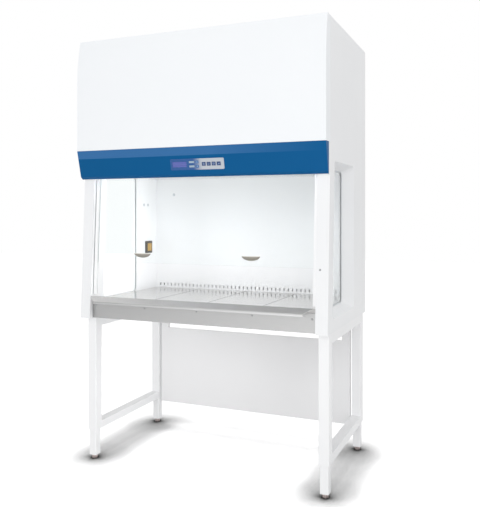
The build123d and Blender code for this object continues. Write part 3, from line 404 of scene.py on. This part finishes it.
grow("slotted_rear_wall", tree, {
    "Width": wall_width, "Height": wall_height, "Pitch": slot_pitch,
    "Slots": int((wall_width - 2 * slot_margin) / slot_pitch), "Long": slot_length,
    "Wide": slot_width, "Rise": slot_centre - wall_middle, "Port": port_radius,
    "Lift": port_centre - wall_middle, "Sheet": wall_high.y - wall_low.y,
    "Place": (0.0, wall_high.y, wall_middle), "Finish": lining_coat},
    "cabinet", "white_enamel", "rear_wall")

# ---- trays, armrest, apron and drain pan ------------------------------------
# Austenitic stainless sheet, fine brushed across the width. The trays are
# polished enough to mirror the slots behind them; the armrest is duller.
tray_low, tray_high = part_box("tray_2")
tray_gap = 0.0016
bend_half, bend_grey = 0.0032, "#A5A5A5"
brushed_across, steel_grain_mm = (0.03, 1.0, 1.0), 1.6
tray_steel = brushed_metal("polished_stainless_tray", "#DAD9D7", "#CECDCB", steel_grain_mm, 0.15,
                           brushed_across,
                           (tray_high.x - tray_low.x + tray_gap, bend_half, bend_grey))
rest_low, rest_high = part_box("armrest")
# Below this height the armrest's lip takes its own painted shade and highlight.
lip_top = rest_low.z + 0.013


def steel_with_painted_shade(name, left, right, rough, lip=None):
    """Brushed stainless with painted shade drifting from left to right, and a second painted drift
    of shade and highlight on a lip.
    """
    material, tree = new_finish(name)
    where = here(tree)
    place = add_node(tree, "ShaderNodeSeparateXYZ", {0: where}).outputs
    across = ramp(tree, place[0], rest_low.x, rest_high.x)
    marks = worked_grain(tree, where, steel_grain_mm, brushed_across)
    tone = blend(tree, across, left, right)
    if lip:
        on_lip = calc(tree, "LESS_THAN", place[2], lip_top)
        tone = blend(tree, on_lip, tone, blend(tree, across, *lip))
    worn = ramp(tree, marks, low=0.94, high=1.04)
    grey = add_node(tree, "ShaderNodeVectorMath", {0: tone, "Scale": worn}, operation="SCALE")
    close_metal(tree, grey.outputs[0], marks, rough)
    return material


dress(tray_steel, "tray_1", "tray_2", "tray_3", "tray_4")
# Painted shade: lighter at the left end, darker at the right. The lip is painted darker at the left
# and carries a painted highlight at the right.
rest_steel = steel_with_painted_shade("brushed_stainless_armrest", "#D8D7D6", "#BFBEBD", 0.50,
                          ("#AAAAAA", "#D0D0D0"))
dress(rest_steel, "armrest")
# Painted shade: darker at the left end, lighter towards the right.
apron_steel = steel_with_painted_shade("brushed_stainless_apron", "#A6A6A6", "#B8B8B8", 0.42)
dress(apron_steel, "front_apron", "base_pan")

# ---- sash and side windows ---------------------------------------------------
# Laminated safety glass. It is clear seen square on, mirrors at a low angle,
# and its ground edges carry the pale green of the glass.


def window_glass(name, across):
    """Flat clear glass that mirrors at a low angle, with pale ground edges.

    Across is the axis, 0 to 2, that its broad faces look along.
    """
    mirror_square, mirror_grazing = 0.025, 0.80
    ground_share = 0.35
    material, tree = new_finish(name)
    grazing = add_node(tree, "ShaderNodeLayerWeight", {"Blend": 0.5}).outputs["Facing"]
    steep = calc(tree, "POWER", grazing, 5.0)
    mirror = ramp(tree, steep, low=mirror_square, high=mirror_grazing)
    clear = add_node(tree, "ShaderNodeBsdfTransparent", {"Color": linear("#FEFFFF")})
    shine = add_node(tree, "ShaderNodeBsdfGlossy", {"Color": linear("#FFFFFF"), "Roughness": 0.02})
    face = add_node(tree, "ShaderNodeMixShader", {
        0: mirror, 1: clear.outputs[0], 2: shine.outputs[0]})
    normal = add_node(tree, "ShaderNodeNewGeometry").outputs["Normal"]
    along = add_node(tree, "ShaderNodeSeparateXYZ", {0: normal}).outputs[across]
    rim = calc(tree, "LESS_THAN", calc(tree, "ABSOLUTE", along), 0.5)
    ground = add_node(tree, "ShaderNodeBsdfPrincipled", {
        "Base Color": linear("#DCE6E2"), "Roughness": 0.4})
    skin = add_node(tree, "ShaderNodeMixShader", {
        0: calc(tree, "MULTIPLY", rim, ground_share), 1: face.outputs[0], 2: ground.outputs[0]})
    add_node(tree, "ShaderNodeOutputMaterial", {"Surface": skin.outputs[0]})
    return material


dress(window_glass("laminated_sash_glass", 1), "sash_glass")
dress(window_glass("laminated_side_glass", 0), "window_panes")

# ---- window gaskets -----------------------------------------------------------
# Extruded silicone rubber clamped between the pane and the drawn sheet: matt,
# pale grey, with faint lines from the die and dust in its grain.


def moulding(name, colour, shade, grain_mm=0.7, rough=0.38, ior=1.58, detail=2.0,
             bump=(0.15, 0.0001)):
    """Moulded plastic or rubber with a fine grain. Bump is its strength and depth, or None."""
    material, tree = new_finish(name)
    grain = noise(tree, here(tree), grain_mm, detail)
    sockets = {"Base Color": blend(tree, grain, colour, shade), "Roughness": rough, "IOR": ior}
    if bump:
        sockets["Normal"] = relief(tree, grain, *bump)
    close_finish(tree, sockets)
    return material


gasket = moulding("grey_silicone_gasket", "#E4E6E8", "#D6D9DC", 3.0, 0.62, 1.43, 3.0,
                  (0.2, 0.0003))
dress(gasket, "window_gaskets")

# ---- sash guides and top bar ----------------------------------------------------
# The guides are drawn aluminium channel, coated white with the lining. The bar
# over the glass stays natural anodised: satin grey with fine die lines.
dress(lining_coat, "sash_guides")
anodised = brushed_metal("natural_anodised_channel", "#D9DADB", "#C9CBCD", 1.5, 0.33,
                         (1.0, 1.0, 0.03))
dress(anodised, "sash_top_bar", "blower_wheel")

# ---- guide seals ----------------------------------------------------------------
# Thin beads pressed into the corner between each sash guide and its front post. Their dark grey
# is painted shade: it draws the thin shadow line of that gap up each side of the opening.


def ring_faces(rows, sides, first=0):
    """The side, bottom and top of a closed body that is made of rows of points."""
    walls = [[first + row * sides + i, first + row * sides + (i + 1) % sides,
              first + (row + 1) * sides + (i + 1) % sides, first + (row + 1) * sides + i]
             for row in range(rows - 1) for i in range(sides)]
    last = first + (rows - 1) * sides
    return walls + [list(range(first, first + sides)), list(range(last, last + sides))]


def closed_piece(name, points, faces):
    """A linked object made of points and faces, with every face turned outwards."""
    mesh = bpy.data.meshes.new(name)
    mesh.from_pydata(points, [], faces)
    shape = bmesh.new()
    shape.from_mesh(mesh)
    bmesh.ops.recalc_face_normals(shape, faces=shape.faces)
    shape.to_mesh(mesh)
    shape.free()
    piece = bpy.data.objects.new(name, mesh)
    scene.collection.objects.link(piece)
    return piece


lean = radians(3.0)
sash_plane = rear_face - 0.7205
seal_levels = stand_top + 0.126, stand_top + 0.722
seal_section = [(0.6095, 0.0118), (0.6073, 0.0118), (0.6073, 0.0128), (0.6080, 0.0135),
                (0.6095, 0.0135)]
corners = len(seal_section)
points, faces = [], []
for side in (-1, 1):
    faces += ring_faces(len(seal_levels), corners, len(points))
    for z in seal_levels:
        middle = sash_plane + (z - stand_top) * tan(lean)
        points += [(side * x, middle - depth, z) for x, depth in seal_section]
seals = closed_piece("guide_seals", points, faces)
# Dark grey as painted shade for the shadow in the gap.
seal_shade_grey = moulding("dark_grey_guide_seal_painted_shade", "#77797B", "#8B8D8F", 9.0, 0.7, 1.5, 3.0, None)
seals.data.materials.append(seal_shade_grey)
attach(seals, "cabinet")

# ---- finger pulls on the sash -----------------------------------------------------
# Moulded bowls of pale ABS bonded to the glass. Below the rim that the fingers find,
# the belly is painted a darker grey brown as painted shade.
pull_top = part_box("sash_handles")[1].z
rim_depth, rim_fade = 0.0035, 0.0004
pull, tree = new_finish("pale_abs_pull_painted_belly_shade")
where = here(tree)
height = add_node(tree, "ShaderNodeSeparateXYZ", {0: where}).outputs[2]
rim = ramp(tree, height, pull_top - rim_depth - rim_fade, pull_top - rim_depth)
spark = noise(tree, where, 1.5, 2.0)
close_finish(tree, {
    # Pale ABS on the rim; the darker grey brown below it is painted shade on the belly.
    "Base Color": blend(tree, rim, "#9A958A", "#E2E0DA"),
    "Roughness": ramp(tree, spark, low=0.28, high=0.42), "IOR": 1.54,
    "Normal": relief(tree, spark, 0.15, 0.0002)})
dress(pull, "sash_handles")

# ---- control fascia ------------------------------------------------------------------
# Folded sheet in a deep blue powder coat. A painted reflection, a lighter blue band,
# lies along its top edge and fades out towards the user's right, and a painted shade leaves the
# blue a touch darker at the left.
fascia_low, fascia_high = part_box("control_fascia")
reflection_height, reflection_edge_fade = 0.040, 0.002
reflection_fade_start, reflection_fade_end = 0.10, 0.66
cloud_mm, cloud_share = 300.0, 0.35
fascia, tree = new_finish("blue_powder_coat_fascia")
where = here(tree)
place = add_node(tree, "ShaderNodeSeparateXYZ", {0: where}).outputs
# The painted reflection: a lighter blue band along the top edge that fades out towards the right.
reflection_foot = fascia_high.z - reflection_height
upper = ramp(tree, place[2], reflection_foot - reflection_edge_fade, reflection_foot)
left = ramp(tree, place[0], reflection_fade_start, reflection_fade_end, 1.0, 0.0)
painted_reflection = calc(tree, "MULTIPLY", upper, left)
# Painted shade across the width, darker at the left, mixed with a random drift of tone.
across = ramp(tree, place[0], fascia_low.x, fascia_high.x)
drift = noise(tree, where, cloud_mm, 2.0)
drift_and_painted_shade = blend(tree, cloud_share, blend(tree, across, "#00568B", "#0A5A92"),
                blend(tree, drift, "#005A90", "#005287"))
peel = noise(tree, where, peel_mm, 1.0)
close_finish(tree, {
    "Base Color": blend(tree, painted_reflection, drift_and_painted_shade, "#386EA4"),
    "Roughness": ramp(tree, drift, low=0.40, high=0.50), "IOR": coat_ior,
    "Specular IOR Level": 0.12, "Normal": relief(tree, peel, peel_strength, peel_depth)})
dress(fascia, "control_fascia")

# ---- control plate and display lens ---------------------------------------------------
# A printed polyester film on a plate: silver at the right, shading to the
# fascia's blue at the left, round a violet backlit liquid crystal display.
plate_low, plate_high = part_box("control_plate")
plate_centre = (plate_low.z + plate_high.z) / 2
display_left, display_right = -0.114, -0.036
display_half_height = 0.0135
silver_start, silver_end = -0.005, 0.055
cell_width, cell_height, cell_gap = 0.0052, 0.0090, 0.25
film, tree = new_finish("printed_polyester_film")
where = here(tree)
place = add_node(tree, "ShaderNodeSeparateXYZ", {0: where}).outputs
shade = ramp(tree, place[0], silver_start, silver_end, curve="SMOOTHSTEP")
ink = blend(tree, shade, "#0A4E90", "#BDC2CA")
wide = calc(tree, "MULTIPLY", calc(tree, "GREATER_THAN", place[0], display_left),
            calc(tree, "LESS_THAN", place[0], display_right))
off_centre = calc(tree, "ABSOLUTE", calc(tree, "SUBTRACT", place[2], plate_centre))
tall = calc(tree, "LESS_THAN", off_centre, display_half_height)
screen = calc(tree, "MULTIPLY", wide, tall)
columns, rows = (
    calc(tree, "GREATER_THAN", calc(tree, "FRACT", calc(tree, "MULTIPLY", place[axis], 1 / pitch)),
         cell_gap) for axis, pitch in ((0, cell_width), (2, cell_height)))
lcd = blend(tree, calc(tree, "MULTIPLY", columns, rows), "#3F4C9C", "#5764B0")
speck = noise(tree, where, 0.8, 1.0)
close_finish(tree, {
    "Base Color": blend(tree, screen, ink, lcd),
    "Roughness": ramp(tree, screen, low=0.34, high=0.08), "IOR": 1.55,
    "Normal": relief(tree, speck, 0.08, 0.0001),
    "Emission Color": blend(tree, screen, "#000000", "#4D55A6"), "Emission Strength": 0.06})
dress(film, "control_plate")

# ---- keys -----------------------------------------------------------------------------
# Moulded polycarbonate caps with a fine texture and a printed mark each. The
# four square ones are deep blue, the menu caps pale, the arrow caps film blue.
dress(moulding("blue_polycarbonate_key", "#123C74", "#0C3064"),
      "square_key_1", "square_key_2", "square_key_3", "square_key_4")
dress(moulding("pale_polycarbonate_key", "#A9BCC6", "#9AB0BE"),
      "menu_key_upper", "menu_key_lower")
dress(moulding("film_blue_polycarbonate_key", "#3D6FA8", "#33659E"),
      "arrow_key_up", "arrow_key_down")

# ---- printed marks on the keys ------------------------------------------------------------
# Pad printed ink, raised a hair from the cap: plain rings, bars and arrows that
# say light, power, fan and level without a word.
key_rake = atan(31 / 132)
key_thick = 0.0048
ink_height = 0.00015
outwards = Vector((0, -cos(key_rake), -sin(key_rake)))
upwards = Vector((0, -sin(key_rake), cos(key_rake)))


def ring_mark(outer, inner, parts=28, gap=0):
    """Sectors of a printed ring in mm. A gap leaves out sectors at the top."""
    turns = [2 * pi * (i + 0.5 * gap) / parts + pi / 2 for i in range(parts - gap + 1)]
    return [[(r * cos(t), r * sin(t)) for r, t in ((inner, a), (outer, a), (outer, b), (inner, b))]
            for a, b in zip(turns, turns[1:])]


def bar_mark(x, y, wide, tall):
    """A printed bar in mm, centred at x, y."""
    return [(x - wide / 2, y - tall / 2), (x + wide / 2, y - tall / 2),
            (x + wide / 2, y + tall / 2), (x - wide / 2, y + tall / 2)]


def disc_mark(radius, parts=20):
    """A printed dot in mm."""
    turns = [2 * pi * i / parts for i in range(parts)]
    return [(radius * cos(turn), radius * sin(turn)) for turn in turns]


def print_on(key, areas):
    """Lays ink on a key's front as a thin piece that moves with the key."""
    low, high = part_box(key)
    centre = (low + high) / 2 + outwards * key_thick / 2
    shape = bmesh.new()
    for area in areas:
        shape.faces.new([
            shape.verts.new(centre + Vector((x, 0, 0)) / 1000 + upwards * y / 1000)
            for x, y in area])
    bmesh.ops.remove_doubles(shape, verts=shape.verts, dist=0.00001)
    raised = bmesh.ops.extrude_face_region(shape, geom=list(shape.faces), use_keep_orig=True)
    tops = [part for part in raised["geom"] if isinstance(part, bmesh.types.BMVert)]
    bmesh.ops.translate(shape, verts=tops, vec=outwards * ink_height)
    bmesh.ops.recalc_face_normals(shape, faces=shape.faces)
    mesh = bpy.data.meshes.new("mark_" + key)
    shape.to_mesh(mesh)
    shape.free()
    mesh.materials.append(pale_ink)
    mark = bpy.data.objects.new("mark_" + key, mesh)
    scene.collection.objects.link(mark)
    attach(mark, key)


pale_ink = moulding("pale_pad_print_ink", "#A9BEDA", "#9CB3D2")
outer_ring = ring_mark(4.8, 3.9)
level_bars = [bar_mark(-3.2 + 3.2 * i, -2.4 + i, 1.6, 3 + 2 * i) for i in range(3)]
arrow_up = [(-3.6, -2.4), (3.6, -2.4), (0.0, 3.2)]
arrow_down = [(x, -y) for x, y in reversed(arrow_up)]
print_on("square_key_1", outer_ring + [disc_mark(1.6)])
print_on("square_key_2", ring_mark(4.8, 3.9, gap=6) + [bar_mark(0, 3.4, 1.0, 4.4)])
print_on("square_key_3", outer_ring + ring_mark(2.3, 1.5))
print_on("square_key_4", level_bars)
print_on("menu_key_upper", [bar_mark(0, 0, 17, 1.6)])
print_on("menu_key_lower", [bar_mark(-3, 0, 11, 1.6), bar_mark(6.5, 0, 3.0, 1.6)])
print_on("arrow_key_up", [arrow_up])
print_on("arrow_key_down", [arrow_down])

# ---- socket outlet ---------------------------------------------------------------------
# A dark moulded surround on the left wall, with an amber flap that springs
# shut over the contacts. The mains inlet and blower motor share its moulding.
surround = moulding("dark_textured_moulding", "#4A443C", "#3B362F")
dress(surround, "outlet_box", "mains_inlet", "blower_motor")
amber = moulding("amber_polycarbonate_flap", "#C9A24B", "#B98F3A")
dress(amber, "outlet_flap")

# ---- screws, plugs and bolts ------------------------------------------------------------
# Stainless button heads with hexagon sockets hold the apron, pale grey domed
# caps close spare holes, and a zinc plated bolt on a washer locks each leg.


def headed(name, *rings):
    """A turned head standing on z = 0, made of rings (radius, height, corners) in mm.

    The last ring closes its top. A ring with six corners is a hexagon whose radius is to
    its flats.
    """
    sides = 24
    points = []
    for radius, height, corners in rings:
        for i in range(sides):
            turn = 2 * pi * i / sides
            reach = radius
            if corners:
                sector = 2 * pi / corners
                reach = radius / cos((turn + sector / 2) % sector - sector / 2)
            points.append((reach * cos(turn) / 1000, reach * sin(turn) / 1000, height / 1000))
    return closed_piece(name, points, ring_faces(len(rings), sides))


rows_tree, given = new_tree(
    "heads_in_rows", Head="Object", First="Vector", Step="Vector", Count="Int", Next="Vector",
    Rows="Int", Facing="Vector", Finish="Material")
across = add_node(rows_tree, "GeometryNodeMeshLine", {
    "Count": given["Count"], "Start Location": given["First"], "Offset": given["Step"]})
down = add_node(rows_tree, "GeometryNodeMeshLine", {
    "Count": given["Rows"], "Offset": given["Next"]})
lattice = add_node(rows_tree, "GeometryNodeInstanceOnPoints", {
    "Points": across.outputs[0], "Instance": down.outputs[0]})
places = add_node(rows_tree, "GeometryNodeRealizeInstances", {0: lattice.outputs[0]})
aim = add_node(rows_tree, "FunctionNodeAlignRotationToVector", {"Vector": given["Facing"]},
               axis="Z")
unit = add_node(rows_tree, "GeometryNodeObjectInfo", {"Object": given["Head"]})
heads = add_node(rows_tree, "GeometryNodeInstanceOnPoints", {
    "Points": places.outputs[0], "Instance": unit.outputs["Geometry"],
    "Rotation": aim.outputs[0]})
close_tree(rows_tree, heads.outputs[0], given["Finish"])


def set_heads(name, head, first, facing, finish, step=(0, 0, 0), count=1, rows=1,
              next_row=(0, 0, 0)):
    """Rows of one kind of head on the cabinet, standing out along facing."""
    return grow(name, rows_tree, {
        "Head": head, "First": first, "Step": step, "Count": count, "Next": next_row,
        "Rows": rows, "Facing": facing, "Finish": finish}, "cabinet", "bare_steel")


button_head = headed("button_head", (5.0, 0, 0), (5.0, 0.4, 0), (4.6, 1.3, 0), (3.9, 2.0, 0),
                     (2.9, 2.4, 0), (1.7, 2.5, 6), (1.6, 1.0, 6))
domed_cap = headed("domed_cap", (9.0, 0, 0), (9.0, 0.5, 0), (8.5, 1.1, 0), (7.2, 1.6, 0),
                   (4.6, 1.9, 0), (2.0, 2.0, 0))
leg_bolt = headed("leg_bolt", (9.5, 0, 0), (9.5, 1.0, 0), (9.0, 1.3, 0), (6.5, 1.3, 6),
                  (6.5, 4.6, 6), (5.8, 5.3, 0))
button_steel = brushed_metal("stainless_button_head", "#B4B5B6", "#9A9B9D", 0.8, 0.40)
cap_resin = moulding("pale_grey_nylon_cap", "#D4D8DB", "#C8CCD0")
apron_pitch = 0.295
apron_first = (-2 * apron_pitch, rear_face - 0.7285, stand_top + 0.066)
post_place = (0.630, -0.3417, 1.045)
wall_x, wall_cap_y, wall_cap_z, wall_cap_step = 0.610, 0.155, 1.350, 0.043
rear_cap_first, rear_cap_step = (-0.487, 0.295, 1.413), 0.974
bolt_first, bolt_step, bolt_next = (-0.636, -0.253, 0.232), 1.272, 0.629
screws = set_heads("apron_screws", button_head, apron_first, (0, -1, 0), button_steel,
                   (apron_pitch, 0, 0), 5)
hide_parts("fasteners")
set_heads("post_screw", button_head, post_place, (0, -1, 0), button_steel)
for side, name in ((-1, "left"), (1, "right")):
    set_heads("wall_caps_" + name, domed_cap, (side * wall_x, wall_cap_y, wall_cap_z),
              (-side, 0, 0), cap_resin, (0, wall_cap_step, 0), 2)
set_heads("rear_caps", domed_cap, rear_cap_first, (0, -1, 0), cap_resin,
          (rear_cap_step, 0, 0), 2)
set_heads("leg_bolts", leg_bolt, bolt_first, (0, 1, 0), foot_zinc, (bolt_step, 0, 0), 2, 2,
          (0, bolt_next, 0))
for head in (button_head, domed_cap, leg_bolt):
    bpy.data.objects.remove(head)
dress(foot_zinc, "fasteners", "balance_shaft")

# ---- filters, plenum, blower and counterweights, inside the shell -------------------------
# Pleated glass fibre in its frame, and bare galvanised sheet round it.
fibre = moulding("pleated_glass_fibre", "#EFEFE8", "#E2E2D9")
dress(fibre, "supply_filter", "exhaust_filter")
galvanised = brushed_metal("galvanised_sheet", "#B4B8BA", "#8F9498", 14.0, 0.38)
dress(galvanised, "plenum_wall", "blower_housing", "counterweight_left", "counterweight_right")

# ---- lamp tubes ----------------------------------------------------------------------------
# Opal coated glass tubes behind the fascia, lit.
tube_glow = 4.2
tube, tree = new_finish("opal_lit_tube")
coat = blend(tree, noise(tree, here(tree), 40.0, 1.0), "#FFFFFF", "#F7F8FA")
close_finish(tree, {
    "Base Color": coat, "Roughness": 0.3, "Emission Color": coat, "Emission Strength": tube_glow})
dress(tube, "lamp_tubes")
